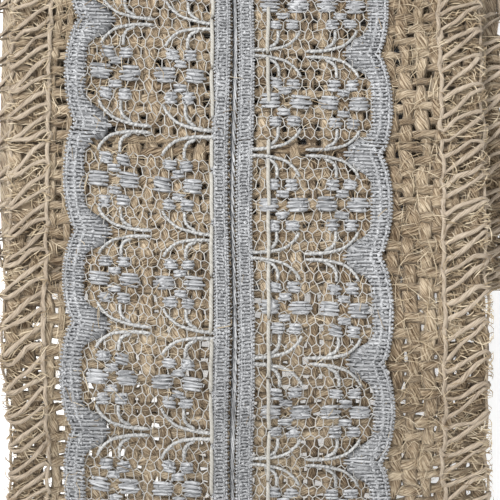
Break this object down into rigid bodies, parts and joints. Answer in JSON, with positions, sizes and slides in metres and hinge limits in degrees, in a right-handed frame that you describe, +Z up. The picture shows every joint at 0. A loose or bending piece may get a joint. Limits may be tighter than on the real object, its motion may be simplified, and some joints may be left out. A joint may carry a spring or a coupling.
{
  "type": "table runner ribbon",
  "caption": "Narrow hessian runner with a grey lace galloon sewn down the middle and serged edges, wound up flat with its free end drawn out over the front to the table.",
  "frame": {"origin": "middle of the whole object's box, at the table it lies on", "axes": "+X across the ribbon, +Y along it from the free end towards the bundle, +Z up"},
  "size_m": [0.0602, 0.3078, 0.0342],
  "materials": {
    "hessian": "natural tan jute in an open plain weave, coarse and hairy",
    "lace": "silver grey cotton galloon lace with a fine hexagonal net",
    "sewing_thread": "cream spun sewing thread",
    "serging_thread": "light beige soft-spun serging thread"
  },
  "bodies": {
    "bundle": {"hessian_wound": "hessian", "lace_wound": "lace", "left_seam_needle_thread_wound": "sewing_thread", "left_seam_bobbin_thread_wound": "sewing_thread", "right_seam_needle_thread_wound": "sewing_thread", "right_seam_bobbin_thread_wound": "sewing_thread", "left_serging_needle_thread_wound": "serging_thread", "left_upper_looper_thread_wound": "serging_thread", "left_lower_looper_thread_wound": "serging_thread", "right_serging_needle_thread_wound": "serging_thread", "right_upper_looper_thread_wound": "serging_thread", "right_lower_looper_thread_wound": "serging_thread"},
    "free_end": {"hessian_free_end": "hessian", "lace_free_end": "lace", "left_seam_needle_thread_free_end": "sewing_thread", "left_seam_bobbin_thread_free_end": "sewing_thread", "right_seam_needle_thread_free_end": "sewing_thread", "right_seam_bobbin_thread_free_end": "sewing_thread", "left_serging_needle_thread_free_end": "serging_thread", "left_upper_looper_thread_free_end": "serging_thread", "left_lower_looper_thread_free_end": "serging_thread", "right_serging_needle_thread_free_end": "serging_thread", "right_upper_looper_thread_free_end": "serging_thread", "right_lower_looper_thread_free_end": "serging_thread"}
  },
  "joints": [
    {"name": "free_end_lift", "type": "hinge", "parent": "bundle", "child": "free_end", "pos_m": [0, 0.02081, 0.03422], "axis": [-1, 0, 0], "range_deg": [0, 90]}
  ]
}
